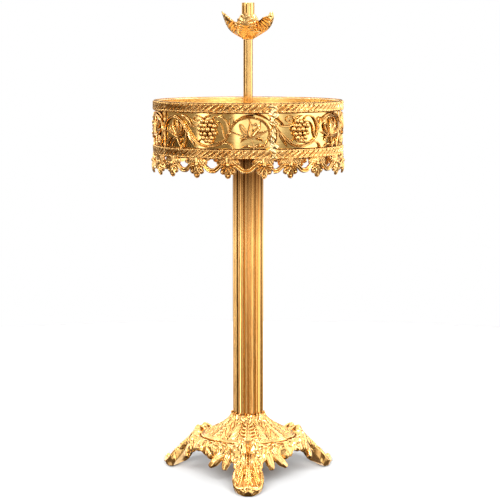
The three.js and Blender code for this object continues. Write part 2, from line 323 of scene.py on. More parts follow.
def rope_rail(skin, low, x0, x1, seed):
    """A rail of slanted S-shaped strokes with fine ribs, beaded in between, with a thin line each side."""
    rng = random.Random(seed)
    pitch = 13.6
    n = int((x1 - x0) / 0.62)
    v = np.linspace(-1, 1, 40)
    xs = np.linspace(x0, x1, n)
    moods = [(rng.uniform(0.75, 1.15), rng.uniform(-0.12, 0.12), rng.uniform(0.85, 1.2)) for _ in range(80)]
    x, vv = np.meshgrid(xs, v, indexing="ij")
    phase = (x - pitch * (0.5 * vv + 0.42 * np.sin(math.pi * vv) * 0.6)) / pitch
    cell = np.floor(phase).astype(int)
    u = phase - cell
    strength, offset, thick = (np.array([mood[i] for mood in moods])[cell + 20] for i in range(3))
    stroke = np.clip(1 - np.abs((2 * u - 1) / (0.76 * np.minimum(thick, 1.1))) ** 3, 0, 1) ** 0.6
    ribs = np.abs(np.sin(math.pi * (2.6 * (u - 0.5) + 0.5 + offset))) ** 0.7
    inside = 1 - smooth(0.8, 0.93, np.abs(vv))
    relief = inside * strength * stroke * (1.9 + 1.7 * ribs)
    between = np.minimum(u, 1 - u) * pitch
    for end in (-0.66, 0.66):
        d = np.hypot(between, (vv - end) * RAIL / 2)
        relief = np.maximum(relief, 3.3 * np.sqrt(np.clip(1 - (d / 2.1) ** 2, 0, 1)))
    edge_line = 2.2 * bump(np.abs(vv), 0.965, 0.04)
    w = 0.8 + relief + edge_line
    z = low + RAIL * (vv + 1) / 2
    front = np.stack([x, z, w], axis=-1)
    edges = (low + RAIL, low)
    back = np.stack([np.stack([xs, np.full(n, zz), np.zeros(n)], axis=-1) for zz in edges], axis=1)
    skin.rings(np.concatenate([front, back], axis=1))


def vine_pattern():
    """One length of the mould: rails, vine leaves, grapes, scrolls, pendants and swags.

    The vine's points are (degrees along, height), and some have a lift outwards as a third number.
    """
    skin = Skin()
    k = PER_DEGREE
    base = 0.4
    foot = LOWER_RAIL - PATTERN_FOOT

    def at(points, lift=0.0):
        return [(a * k, foot + z, base + lift + (rest[0] if rest else 0)) for a, z, *rest in points]

    def stem(points, width, height, shape=band_section, lift=0.0, **more):
        skin.blade(at(points, lift), width, height, shape, **more)

    def leaf(points, width, height=3.0, lift=0.2, shape=leaf_section):
        skin.blade(at(points, lift), pointed(width), arched(height, 0.12, 0.8, 0.6), shape, step=0.9, top=11)

    def ring(a, z, radius, width, height, lift=0.2, squeeze=1.0, lean=0.0):
        turn = np.linspace(0, TAU, 10)
        x, y = radius * squeeze * np.cos(turn), radius * np.sin(turn)
        c, s = math.cos(math.radians(lean)), math.sin(math.radians(lean))
        path = [(a * k + c * i + s * j, foot + z - s * i + c * j, base + lift) for i, j in zip(x, y)]
        skin.blade(path, width, height, band_section, step=0.8, top=9)

    # rails
    rope_rail(skin, UPPER_RAIL, -4 * k, 82 * k, 3)
    rope_rail(skin, LOWER_RAIL, -4 * k, 82 * k, 7)

    # main stem: over the first leaf, under the grapes, and round the second leaf
    stem([(-0.6, 708), (-0.9, 722), (-0.6, 742), (2.2, 759), (9.5, 770.5), (15.2, 764), (18.8, 753),
          (22.5, 738), (26.5, 724.5), (30.5, 715.2), (35, 711.8), (40, 713.6), (44.2, 719.5), (47, 728),
          (48.5, 740), (50.6, 753), (55, 765.5), (61, 770.3), (67.2, 765.8), (71.2, 754.5), (72.7, 742),
          (72.1, 728.5), (70.2, 716), (69.3, 708)],
         [2.3, 2.5, 3.0, 3.5, 3.2, 2.8, 2.7, 2.8, 2.6, 2.3], 3.6, double_section, top=15)
    stem([(11, 769.5), (17, 762.5), (19.9, 750), (20.6, 736), (19.8, 721), (18.4, 708)],
         [1.4, 2.0, 1.9, 1.6], 3.0)
    stem([(36, 712), (41.5, 714.5), (46, 719.6), (49, 718), (50.6, 713), (51.2, 707)],
         [1.6, 1.9, 1.8, 2.1], 3.0)
    # branch that curls back over the grapes, and the one inside it
    stem([(48.4, 737), (48.5, 750), (47, 762), (44.4, 770.6), (41.3, 772.6), (38.8, 769), (38.2, 762.5)],
         [2.0, 2.3, 2.2, 1.5, 1.0], [3.2, 3.4, 2.6])
    stem([(46.8, 727.5), (45.4, 737), (44.9, 747), (43.8, 756), (41.6, 761.6), (39.9, 760)],
         [1.8, 1.5, 1.0, 0.8], 2.8)
    stem([(47, 727), (44.8, 723.4), (41.8, 719.8), (38.8, 719)], [1.4, 0.9, 0.6], 2.4)
    # tendril between the branch and the second circle
    stem([(48.9, 744), (49.2, 752), (49.0, 761), (49.5, 768), (50.8, 769.6), (51.5, 766), (50.9, 758),
          (50.2, 751)], [1.0, 0.9, 0.8, 0.9], 2.4, round_section)

    def hatch(s):
        return 3.0 + 0.9 * np.abs(np.sin(9 * math.pi * s))

    # hatched leaf that follows the second circle's shoulder
    stem([(51.8, 760), (54.2, 766.5), (57.4, 771), (60.8, 774), (64.5, 776)], arched(3.0, 0.1, 0.85),
         hatch, leaf_section, step=0.7)
    stem([(64, 776.5), (67.6, 774), (70.6, 769), (72.8, 763)], arched(2.6, 0.1, 0.85),
         hatch, leaf_section, step=0.7)

    # second circle: a five-lobed leaf on its stalk
    stem([(48.4, 739.5), (51.6, 739.3), (54.6, 735.6), (57.4, 731.6), (60.6, 729.6)],
         [1.9, 1.5, 1.6, 1.8], 3.0)
    ring(57.1, 745, 13.2, 1.35, 3.0, lift=0.6, squeeze=0.38, lean=-30)
    leaf([(61.0, 731), (59.3, 737), (57.2, 744), (54.7, 757.5)], 1.9, 1.6, shape=dished_section)
    leaf([(61.4, 730.5), (61.2, 742), (61.6, 755), (60.3, 769)], 4.6, 4.0, lift=0.6, shape=dished_section)
    leaf([(61.8, 731), (63.9, 741), (66.4, 750), (67.4, 763.5)], 3.9, 3.6, lift=0.4, shape=dished_section)
    leaf([(62.4, 730.5), (65.2, 735), (68.3, 739), (71.6, 744.5)], 3.6, 3.4, lift=0.5, shape=dished_section)
    leaf([(63.4, 730), (65.8, 728.6), (67.8, 725.6), (69.2, 720.5)], 2.6, 2.8)
    leaf([(60.4, 730), (58.0, 728.4), (56.4, 724.5), (55.6, 719.5)], 2.6, 2.8)
    ring(64.3, 756, 3.0, 0.9, 2.4, lift=0.8)
    skin.ball(at([(64.3, 756, 2.0)])[0], 1.6)
    stem([(55.0, 728.5), (58.4, 729.2), (62.0, 728.8), (66.2, 733.0), (70.6, 741)],
         [1.0, 1.9, 2.3, 1.7, 0.8], 3.4, lift=0.9)
    stem([(61.8, 730), (62.5, 722), (63.4, 714), (63.3, 707)], [1.9, 1.5, 1.9], 3.0)
    leaf([(63.2, 710), (66.0, 714.2), (69.0, 713.6), (71.0, 710.5)], 2.8, 2.8)
    leaf([(63.0, 709.5), (60.0, 712.8), (57.4, 711.8), (55.6, 709)], 2.2, 2.4)

    # first circle: upright narrow lobes, a calyx and a bud on its stalk
    stem([(-0.8, 736), (2.4, 739.8), (5.8, 739.6), (9.6, 735.2), (13.0, 731)], [1.9, 1.5, 1.6, 1.8], 3.0)
    leaf([(12.2, 731), (9.4, 736), (6.9, 743), (6.6, 753)], 2.8, 3.0)
    leaf([(12.6, 731), (10.4, 741), (8.9, 752), (9.6, 764)], 3.2, 3.6, lift=0.3)
    leaf([(13.1, 730.5), (12.9, 742), (13.4, 754), (12.4, 768)], 3.3, 4.0, lift=0.6)
    leaf([(13.5, 731), (15.2, 741), (16.3, 751), (16.2, 762)], 3.2, 3.6, lift=0.3)
    leaf([(13.8, 731), (16.6, 735.5), (18.4, 741), (19.3, 748)], 2.8, 3.0)
    stem([(5.4, 741.5), (8.8, 734.8), (13.2, 730.0), (16.9, 733.6), (19.6, 740.5)],
         [0.9, 1.8, 2.2, 1.8, 0.9], 3.4, lift=0.8)
    ring(15.4, 721.8, 4.6, 1.4, 3.0, squeeze=0.75)
    stem([(13.2, 730), (13.8, 722), (15.2, 714.5), (17.0, 707)], [1.7, 1.5, 1.7], 3.0)
    leaf([(12.8, 729), (10.2, 723), (8.4, 716.5), (7.9, 709)], 2.8, 2.8)
    leaf([(2.4, 708), (3.0, 716), (4.8, 723), (7.2, 727.5)], 3.4, 3.2)

    # leaf on the falling stem, the pointed leaf under it, and the volute under the upper rail
    leaf([(16.2, 773), (20.2, 768), (23.0, 760), (25.0, 750.5)], 3.4, 3.6, lift=0.4)
    leaf([(21.6, 744), (22.8, 734), (24.6, 723.5), (26.6, 711)], 3.5, 3.4, lift=0.3)
    leaf([(27.2, 722.5), (29.6, 722.4), (31.0, 726.8)], 1.6, 2.4)
    stem([(21.8, 754), (24.6, 752.6), (28.2, 753.2), (31.0, 757.2), (31.9, 764.2), (30.3, 770.6),
          (27.6, 771.8), (25.9, 767.4), (26.6, 762.4), (28.6, 761.6)],
         [2.3, 2.6, 2.4, 2.1, 1.6, 1.1], [3.4, 3.4, 2.4])
    skin.ball(at([(29.0, 764.2, 1.6)])[0], 1.8)
    leaf([(31.6, 766), (34.4, 770.6), (37.6, 774.2)], 2.0, 2.6)

    # grapes: rows of berries, fullest in the middle
    rng = random.Random(5)
    rows = [(761.5, 3, -1.5), (753.5, 4, 0.8), (745, 4, -2.5), (737, 4, 1.5), (729.5, 3, 0.5), (723, 2, 1.8)]
    for z, count, shift in rows:
        for i in range(count):
            across = (i - (count - 1) / 2) * 9.6 + shift + rng.uniform(-1.1, 1.1)
            rise = 3.2 * math.cos(across / 30) * math.cos((z - 743) / 32) + rng.uniform(-0.5, 0.7)
            centre = (35.6 * k + across, foot + z + rng.uniform(-1.1, 1.1), 0.7 + rise)
            skin.ball(centre, rng.uniform(4.5, 5.7), 0.95)
    # the plate that ties the berries together
    skin.blade(at([(35.6, 766), (35.6, 756), (35.6, 743), (35.6, 730), (35.6, 720)]),
               arched(17, 0.14, 0.76, 0.7), 1.4, round_section, depth=0.3)

    # the fringe
    pendants = [-5.7, 9.0, 28.5, 48.2, 69.3, 84.0]
    for a in pendants[1:-1]:
        x0, z0 = a * k, 674.5
        backing = [(x0, 687, 0.6), (x0, 674, 0.8), (x0, 658, 0.4)]
        skin.blade(backing, [11, 11.5, 6.5], 3.0, round_section, step=0.8)
        lobes = [(80, 16, 6.2), (-80, 16, 6.2), (40, 21, 6.8), (-40, 21, 6.8), (0, 25.5, 7.0)]
        for lean, length, width in lobes:
            s, c = math.sin(math.radians(lean)), math.cos(math.radians(lean))
            tip = (x0 + s * length, z0 - c * length - 1.0)
            mid = (x0 + s * length * 0.55 - 0.03 * lean, z0 - c * length * 0.5)
            lobe = [(x0 + s * 1.5, z0 - c, 0.8), (*mid, 1.6 + (lean == 0) * 0.5), (*tip, 0.4)]
            skin.blade(lobe, spoon(width), arched(5.0, 0.18, 0.68, 0.7), dished_section, step=0.8, top=13)
            skin.ball((x0 + s * length * 0.84, z0 - c * length * 0.84, 3.2), 2.9)
            rib = [(x0 + s * 3, z0 - c * 3, 3.0), (x0 + s * length * 0.72, z0 - c * length * 0.72, 2.8)]
            skin.blade(rib, [1.1, 0.8], 2.8, round_section, step=0.8)
        for side in (-1, 1):
            for reach, drop, width in ((9, 8, 4.2), (15, 8, 4.2), (20.5, 7, 3.8)):
                curl = [(reach - 7, 688, 1.2), (reach - 2, 686 - drop * 0.4, 1.9), (reach, 686 - drop, 1.4),
                        (reach - 1.5, 683 - drop, 0.7)]
                path = [(x0 + side * x, z, w) for x, z, w in curl]
                skin.blade(path, spoon(width), 4.0, grooved_section, step=0.8)
        skin.ball((x0, z0 + 0.5, 3.6), 4.6)
        skin.blade([(x0, 689, 1.2), (x0, 676, 1.2)], [9.5, 6.5], 3.4, leaf_section)
    for a, b in zip(pendants, pendants[1:]):
        half, middle = (b - a) / 2 * k, (a + b) / 2 * k
        side = half - 9.5
        low = 663 if half > 30 else 665.5
        path = [(-side - 4, 685), (-side, 680), (-0.6 * side, 671), (-0.28 * side, low + 1.4), (0, low),
                (0.28 * side, low + 1.4), (0.6 * side, 671), (side, 680), (side + 4, 685)]
        swag = [(middle + x, z, 0.4) for x, z in path]
        skin.blade(swag, [4.6, 4.8, 5.2, 4.8, 4.6], 4.4, double_section, step=0.8, top=15)
    return skin


def on_drum(points, start):
    x, z, w = points.T
    return polar(DRUM_BACK + w, start + x / PER_DEGREE, z)


def gallery_casting(name, pattern, start, first, last):
    """A length of the pattern from first to last degrees, cut square and wrapped round the drum."""
    bm = bmesh.new()
    verts = [bm.verts.new(p) for p in pattern.points()]
    for f in pattern.faces:
        bm.faces.new([verts[i] for i in f])
    for x, way in ((first * PER_DEGREE, -1), (last * PER_DEGREE, 1)):
        geom = bm.verts[:] + bm.edges[:] + bm.faces[:]
        cut = bmesh.ops.bisect_plane(bm, geom=geom, plane_co=(x, 0, 0), plane_no=(way, 0, 0),
                                     clear_outer=True)
        edges = [e for e in cut["geom_cut"] if isinstance(e, bmesh.types.BMEdge)]
        bmesh.ops.holes_fill(bm, edges=edges, sides=0)
    bm.verts.index_update()
    flat = np.array([v.co[:] for v in bm.verts])
    faces = [[v.index for v in f.verts] for f in bm.faces]
    bm.free()
    return obj_from(name, on_drum(flat, start), faces, 42)


def solder_seam(name, degrees, half_width, crown, seed):
    """A lumpy run of solder down a seam between two castings."""
    rng = random.Random(seed)
    skin = Skin()
    waves = [(rng.uniform(0.05, 0.42), rng.uniform(0, TAU), rng.uniform(0.3, 0.8)) for _ in range(7)]

    def wave(z, turn):
        return sum(a * np.sin(f * z + p * (1 + turn)) for f, p, a in waves)

    z = np.linspace(LOWER_RAIL - 1, DRUM_TOP - 2.5, 120)
    middle = wave(z, 0) * half_width * 0.14
    in_vine = smooth(VINE_LOW - 2, VINE_LOW + 6, z) * (1 - smooth(VINE_HIGH - 6, VINE_HIGH + 2, z))
    width = half_width * (1 + 0.17 * wave(z, 1.3) - 0.3 * in_vine)
    ends = np.minimum(1, np.minimum(z - z[0] + 0.6, z[-1] - z + 0.6) / 4.5) ** 0.5
    t = np.linspace(-1, 1, 19)
    x = middle[:, None] + t[None, :] * (width * ends)[:, None]
    zz, tt = z[:, None], t[None, :]
    lumps = 0.2 * np.sin(0.62 * zz + 3.1 * tt) + 0.16 * np.sin(0.29 * zz - 4.3 * tt + 1)
    lumps += 0.12 * np.sin(1.05 * zz + 5.5 * tt + 2)
    w = 0.4 + crown * ends[:, None] * (1 + lumps + 0.05 * wave(z, 2.1)[:, None]) * (1 - tt**2) ** 1.15
    front = np.stack([x, np.broadcast_to(zz, x.shape), w], axis=-1)
    flat = np.full_like(z, 0.1)
    back = np.stack([np.stack([middle + s * width * ends, z, flat], axis=-1) for s in (0.9, -0.9)], axis=1)
    skin.rings(np.concatenate([front, back], axis=1))
    return obj_from(name, on_drum(skin.points(), degrees), skin.faces, 80)


# ---- materials ----


class Nodes:
    """Short calls for building the nodes of a material or of the world."""

    def __init__(self, owner):
        owner.use_nodes = True
        self.tree = owner.node_tree
        self.tree.nodes.clear()

    def node(self, kind, **settings):
        made = self.tree.nodes.new(kind)
        for key, value in settings.items():
            setattr(made, key, value)
        return made

    def link(self, source, target):
        self.tree.links.new(source, target)

    def place(self, kind="Object"):
        return self.node("ShaderNodeTexCoord").outputs[kind]

    def noise(self, scale, detail=3.0, rough=0.5, stretch=(1, 1, 1)):
        mapping = self.node("ShaderNodeMapping")
        mapping.inputs["Scale"].default_value = stretch
        self.link(self.place(), mapping.inputs[0])
        made = self.node("ShaderNodeTexNoise")
        made.inputs["Scale"].default_value = scale
        made.inputs["Detail"].default_value = detail
        made.inputs["Roughness"].default_value = rough
        self.link(mapping.outputs[0], made.inputs["Vector"])
        return made.outputs["Fac"]

    def spread(self, source, low, high, to_low=0.0, to_high=1.0, kind="LINEAR"):
        made = self.node("ShaderNodeMapRange", interpolation_type=kind)
        for i, value in enumerate((low, high, to_low, to_high), start=1):
            made.inputs[i].default_value = value
        self.link(source, made.inputs[0])
        return made.outputs[0]

    def math(self, operation, *values):
        made = self.node("ShaderNodeMath", operation=operation)
        for i, value in enumerate(values):
            if isinstance(value, (int, float)):
                made.inputs[i].default_value = value
            else:
                self.link(value, made.inputs[i])
        return made.outputs[0]

    def ramp(self, source, stops):
        made = self.node("ShaderNodeValToRGB")
        elements = made.color_ramp.elements
        while len(elements) < len(stops):
            elements.new(0.5)
        for element, (position, colour) in zip(elements, stops):
            element.position, element.color = position, (*colour, 1)
        self.link(source, made.inputs[0])
        return made.outputs[0]

    def mix(self, factor, a, b):
        made = self.node("ShaderNodeMix", data_type="RGBA")
        for i, value in ((0, factor), (6, a), (7, b)):
            if isinstance(value, (int, float)):
                made.inputs[i].default_value = value
            elif isinstance(value, tuple):
                made.inputs[i].default_value = (*value, 1)
            else:
                self.link(value, made.inputs[i])
        return made.outputs[2]

    def bump(self, height, strength, distance, before=None):
        made = self.node("ShaderNodeBump")
        made.inputs["Strength"].default_value = strength
        made.inputs["Distance"].default_value = distance
        self.link(height, made.inputs["Height"])
        if before is not None:
            self.link(before, made.inputs["Normal"])
        return made.outputs[0]


class Material(Nodes):
    """A material with its shader in place."""

    def __init__(self, name):
        self.material = bpy.data.materials.new(name)
        super().__init__(self.material)
        self.shader = self.node("ShaderNodeBsdfPrincipled")
        self.link(self.shader.outputs[0], self.node("ShaderNodeOutputMaterial").inputs[0])


def brass(name, bright, warm, rough, grain, recess, stretch=(1, 1, 1), dimple=0.0, closed=0.18,
          open_at=0.66, pan_shade=None, wavy=0.25):
    """Polished brass: colour that drifts between two golds, painted shade in the recesses, and fine surface
    grain.

    A recess is reckoned over recess millimetres, and is painted shade brown from closed down and its own gold
    from open_at up.
    """
    m = Material(name)
    m.shader.inputs["Metallic"].default_value = 1.0
    drift = m.noise(22, 4, 0.6, stretch)
    speck = m.noise(260, 2, 0.6, stretch)
    colour = m.mix(m.spread(drift, 0.35, 0.65), bright, warm)
    colour = m.mix(m.spread(speck, 0.56, 0.72, 0.0, 0.35), colour, tuple(c * 0.72 for c in warm))
    if recess:
        # painted shade: the colour turns dark brown where ambient occlusion finds other surfaces within
        # recess millimetres, in creases and against neighbouring parts
        near = m.node("ShaderNodeAmbientOcclusion", samples=6)
        near.inputs["Distance"].default_value = recess * MM
        colour = m.mix(m.spread(near.outputs["AO"], closed, open_at, 0.95, 0.0), colour, SHADE_BROWN)
    if pan_shade:
        # painted shade: browner with height, for the shadow that the pan casts on the top of the column
        height = m.node("ShaderNodeSeparateXYZ")
        m.link(m.place(), height.inputs[0])
        under_pan_shade = m.spread(height.outputs["Z"], pan_shade[0] * MM, pan_shade[1] * MM, 0.0, 0.92)
        colour = m.mix(under_pan_shade, colour, SHADE_BROWN)
    m.link(colour, m.shader.inputs["Base Color"])
    wear = m.spread(m.noise(60, 3, 0.6, stretch), 0.3, 0.7, rough * 0.75, rough * 1.3)
    m.link(wear, m.shader.inputs["Roughness"])
    normal = m.bump(m.noise(grain, 2, 0.5, stretch), wavy, 0.0006)
    if dimple:
        normal = m.bump(m.noise(dimple, 1, 0.4), 0.22, 0.0016, normal)
    m.link(normal, m.shader.inputs["Normal"])
    return m.material


# the third colour is the dark brown of painted shade, in recesses and under the pan
GOLD, AMBER, SHADE_BROWN = (1.0, 0.635, 0.25), (0.96, 0.555, 0.185), (0.14, 0.052, 0.011)
DRAWN = (1, 1, 0.04)  # grain that runs up a drawn tube
SPUN = (1, 1, 4)  # grain that runs round a spun sheet
# The number after the grain is how far painted shade reaches, in millimetres; on the sheet brass it paints
# the shadow that the vine casts on the pan wall.
cast_brass = brass("cast_brass", GOLD, AMBER, 0.18, 420, 4, dimple=150, closed=0.22, open_at=0.76)
base_brass = brass("base_brass", GOLD, AMBER, 0.17, 260, 4.6, closed=0.2, open_at=0.66, wavy=0.05)
tube_brass = brass("tube_brass", (1.0, 0.64, 0.24), (0.96, 0.57, 0.18), 0.13, 300, 2.5, DRAWN)
# painted shade: the column goes brown from 500 to 640 mm up, for the pan's shadow on it
column_brass = brass("column_brass", (1.0, 0.61, 0.235), (0.94, 0.53, 0.17), 0.11, 300, 4, DRAWN,
                     closed=0.45, open_at=0.95, pan_shade=(500, 640))
leaf_brass = brass("leaf_brass", (0.96, 0.62, 0.26), (0.88, 0.54, 0.2), 0.22, 300, 3,
                   closed=0.2, open_at=0.75)
stem_brass = brass("stem_brass", (0.8, 0.51, 0.2), (0.7, 0.43, 0.16), 0.2, 260, 0, stretch=(1, 1, 0.2))
sheet_brass = brass("sheet_brass", (1.0, 0.72, 0.28), (1.0, 0.67, 0.24), 0.16, 90, 2.4, SPUN,
                    closed=0.25, open_at=0.8, wavy=0.07)
# painted light: paler than the outside sheet, for the light bounced round inside the pan
pan_brass = brass("pan_brass", (1.0, 0.79, 0.45), (0.98, 0.74, 0.4), 0.34, 90, 0, SPUN)
solder = brass("solder", (1.0, 0.77, 0.4), (1.0, 0.69, 0.31), 0.24, 240, 3, dimple=90)


def steel_material():
    m = Material("steel")
    m.shader.inputs["Metallic"].default_value = 1.0
    greys = m.ramp(m.noise(90, 3, 0.6), [(0.35, (0.42, 0.43, 0.45)), (0.7, (0.62, 0.63, 0.65))])
    m.link(greys, m.shader.inputs["Base Color"])
    m.link(m.spread(m.noise(200, 2, 0.5, (1, 1, 12)), 0.3, 0.7, 0.3, 0.5), m.shader.inputs["Roughness"])
    return m.material


steel = steel_material()

# ---- gallery ----
pattern = vine_pattern()
# Node, where its pattern starts, and the stretch of pattern that it covers. The last casting is cut short.
CASTINGS = [
    ("gallery_panel_1", -60, 0, 75),
    ("gallery_panel_2", 75, 0, 75),
    ("gallery_panel_3", 150, 0, 75),
    ("gallery_panel_4", 225, 0, 75),
    ("gallery_panel_cut", -3, 18, 78),
]
for node, start, first, last in CASTINGS:
    piece = gallery_casting("vine_" + node, pattern, start, first, last)
    finish_piece(piece, "cast_brass", cast_brass, node)
# Degrees, half width and crown. The seam where the ring of castings was closed is the heaviest.
SEAMS = [(-60, 2.4, 3.2), (15, 10.5, 5.6), (75, 2.6, 3.2), (150, 3.2, 3.8), (225, 3.2, 3.8)]
for i, (degrees, half_width, crown) in enumerate(SEAMS):
    seam = solder_seam(f"solder_seam_{i + 1}", degrees, half_width, crown, 20 + i)
    finish_piece(seam, "cast_brass", solder if half_width > 5 else cast_brass)

# ---- pan ----
pan = Skin()
under, rim, sheet = PAN_LOW[2], PAN_HIGH[2], 1.8
inner, floor = PAN_RADIUS - sheet, PAN_LOW[2] + sheet
half_turn, quarter_turn = np.linspace(0, math.pi, 9), np.linspace(0, math.pi / 2, 7)
lip = [(PAN_RADIUS - 0.3 - 1.5 * (1 - math.cos(a)), rim - 1.5 + 1.5 * math.sin(a)) for a in half_turn]
corner = [(PAN_RADIUS - 4 + 4 * math.sin(a), under + 4 - 4 * math.cos(a)) for a in quarter_turn]
inside = [(inner - 3 + 3 * math.cos(a), floor + 3 - 3 * math.sin(a)) for a in quarter_turn]
pan.turned([(5.6, under), (60, under), *corner, (PAN_RADIUS, rim - 8), *lip, (inner - 1.4, rim - 2.6),
            (inner, rim - 4.5), *inside, (120, floor), (60, floor), (5.6, floor)], 256)
pan_piece = make("pan_sheet", pan, "sheet_brass", sheet_brass, "sand_pan")
# painted light: the inside is a paler gold than the outside, so that light bounced round inside the pan comes
# out pale rather than orange; it is also less polished
pan_piece.data.materials.append(pan_brass)
for face in pan_piece.data.polygons:
    reach = math.hypot(face.center.x, face.center.y) / MM
    if face.center.z / MM > floor - 0.5 and reach < inner + 0.5:
        face.material_index = 1

collar = COLUMN_HIGH[0] + 0.4
seat = COLUMN_HIGH[2] + 0.3
outline = [(5.6, seat), (collar, seat), (collar, 680), (35, 680), (36.5, 680.6), (37.4, 682), (38.6, 684.4),
           (41.5, 686.6), (50, 689.6), (57, 691.2), (59.4, 692.2), (60, 694), (60, FLANGE_TOP - 1),
           (59.4, FLANGE_TOP), (5.6, FLANGE_TOP)]
make_turned("flange_turned", outline, 128, "cast_brass", base_brass, "pan_flange")

stem_seat = 711.7
outline = raised(BOSS_LOW[2], [
    (5.35, 0), (28, 0), (28.2, 1.5), (27.6, 3.4), (26, 4.2), (24.6, 4.0), (24, 4.8), (22.6, 6.4), (19, 7.6),
    (16.4, 9.4), (15.2, 12), (15.1, 17), (16, 18.4), (16, 20.6), (15, 22), (13.8, 24.7), (10.3, 24.7)])
outline += [(10.3, stem_seat), (5.35, stem_seat)]
make_turned("boss_turned", outline, 96, "cast_brass", base_brass, "pan_boss")

# ---- column ----
column = Skin()
per_flute, flutes, depth = 20, 24, 3.1
fillet = 0.2  # share of the pitch that is left between two flutes
u = np.tile(np.arange(per_flute) / per_flute, flutes)
flute_at = np.repeat(np.arange(flutes), per_flute)
scoop = np.sqrt(np.clip(1 - ((u - (1 + fillet) / 2) / ((1 - fillet) / 2)) ** 2, 0, 1))
scoop[u < fillet] = 0
radius = COLUMN_HIGH[0] - depth * scoop
degrees = (flute_at + u - fillet / 2) * 360 / flutes
heights = [COLUMN_LOW[2], *np.linspace(136, 684, 8), COLUMN_HIGH[2]]
bore_radius = COLUMN_HIGH[0] - 4
outer = [polar(radius, degrees, z) for z in heights]
bore = [polar(np.full_like(radius, bore_radius), degrees, z) for z in heights[::-1]]
column.rings(np.stack([*outer, *bore]), closed=True)
make("column_fluted", column, "tube_brass", column_brass, "column_tube", angle=28)

# ---- stem ----
foot, top = STEM_LOW[2], STEM_HIGH[2]
outline = [(8.5, foot), (10, foot), *[(10, z) for z in np.linspace(720, 915, 8)], (10, top), (8.5, top)]
make_turned("stem_drawn", outline, 64, "tube_brass", stem_brass, "stem_tube", 40)

# ---- leaf cup ----
CUP_TURN = -7
cup = Skin()
base_z = CUP_LOW[2]
cup.turned(raised(base_z, [(5.6, 0), (10.6, 0), (12.4, 1.2), (13, 3), (14.6, 4.6), (20, 8), (27, 12.6),
                           (30, 15.4), (29.4, 17), (27, 16.4), (20, 12.4), (12, 6), (5.6, 6)]), 72)


def cup_leaf(skin, turn, upper, blunt, cupping):
    """A broad serrated leaf that rises and curls outwards, veined from its middle rib.

    upper is the upper part of its spine, as (radius, height in the cup).
    """
    n, k = 110, 37
    s = np.linspace(0, 1, n)
    spine = curve([(12.5, 3.2), (21, 8.2), (31, 14.2), *upper], n) + np.array([0, base_z])
    outward = -uphill(spine)
    teeth = 8.5
    saw = (s * teeth) % 1
    serrate = 1 - 0.24 * smooth(0.12, 0.3, s) * (1 - saw) ** 1.3
    taper_off = np.clip(1 - smooth(0.45 + 0.25 * blunt, 1.03, s), 0.02, 1) ** (0.8 - 0.3 * blunt)
    width = 22.5 * (0.4 + 0.6 * smooth(0, 0.4, s)) * taper_off * serrate
    tt, ss = np.meshgrid(np.linspace(-1, 1, k), s)
    rib = 1.3 * bump(tt, 0, 0.06) * (1 - ss * 0.4)
    veins = np.cos(TAU * (ss * teeth + 0.1 - 1.3 * np.abs(tt))) * smooth(0.06, 0.25, np.abs(tt))
    lift = rib + 0.6 * veins * smooth(0.05, 0.25, ss)
    cupped = cupping * tt**2 * smooth(0.05, 0.45, ss) * (1 - 0.35 * ss) * taper_off[:, None] ** 0.8
    thick = 1.6 - 0.5 * ss

    def place(offset):
        r = spine[:, 0][:, None] + outward[:, 0][:, None] * offset
        z = spine[:, 1][:, None] + outward[:, 1][:, None] * offset
        return swung(r, tt * width[:, None], z, turn)

    front, back = place(lift - cupped), place(lift * 0.6 - cupped - thick)
    skin.rings(np.concatenate([front, back[:, ::-1]], axis=1))


# Turn, the upper part of the spine, how blunt the tip is, and how far the sides curl in.
CUP_LEAVES = [
    (0, [(40, 22), (45.5, 32), (48, 44), (50.5, 54)], 0.8, 11),
    (90, [(41, 21), (48.5, 30.5), (52.4, 41), (53, 50), (50.5, 57.4)], 1.0, 27),
    (180, [(40, 22), (46, 33), (50, 45), (53, 57)], 0.4, 14),
    (270, [(40, 22.5), (46, 32.5), (50.5, 44.5), (55.2, 57.6)], 0.1, 20),
]
for turn, upper, blunt, cupping in CUP_LEAVES:
    cup_leaf(cup, CUP_TURN + turn, upper, blunt, cupping)
make("cup_leaves", cup, "cast_brass", leaf_brass, "leaf_cup", angle=60)

# ---- socket ----
lip = BELL_HIGH[2]
outline = raised(BELL_LOW[2], [
    (5.35, 0), (15, 0.4), (18.4, 1.8), (20.6, 4.6), (22.4, 8), (24, 12), (24.5, 15.6), (24.2, 19),
    (23.2, 22.6), (21.4, 26.6), (19.2, 30.2), (17.2, 33.4), (15.6, 36)])
outline += [(14.9, lip - 0.6), (14.3, lip), (13.7, lip - 0.3), (13.7, 955), (2.5, 955), (2.5, 950),
            (5.35, 950)]
make_turned("socket_bell_turned", outline, 96, "cast_brass", tube_brass, "socket_bell", 40)

foot, mouth, out = TUBE_LOW[2], TUBE_HIGH[2], TUBE_HIGH[0]
outline = [(11.75, foot), (out, foot), *[(out, z) for z in np.linspace(foot + 6, mouth - 0.9, 6)],
           (out - 0.25, mouth - 0.25), (out - 0.8, mouth), (12.2, mouth), (11.85, mouth - 0.25),
           (11.75, mouth - 0.9)]
make_turned("socket_tube_drawn", outline, 96, "tube_brass", tube_brass, "socket_tube", 40)

# ---- dome ----


def acanthus(beside, up, teeth, slant):
    """Height of a low acanthus leaf: beside is 1 at its edge, and up is 0 at its foot and 1 at its tip."""
    inside_up = smooth(-0.02, 0.05, up) * (1 - smooth(0.97, 1.04, up))
    scallop = 0.06 * np.cos(TAU * (up * teeth - slant + 0.25))
    edge = 1 - smooth(0.84, 0.96, np.abs(beside) - scallop)
    wave = np.cos(TAU * (up * teeth - np.abs(beside) * slant + 0.25))
    vein = smooth(-1.0, -0.25, wave)
    fine = 0.5 + 0.5 * np.cos(TAU * (up * teeth * 3 - np.abs(beside) * slant * 2.4))
    rib = 1.3 * bump(beside, 0, 0.07) - 1.2 * bump(np.abs(beside), 0.19, 0.06)
    return inside_up * edge * (0.7 + (2.0 * vein + 0.15 * fine) * smooth(0.08, 0.3, np.abs(beside)) + rib)


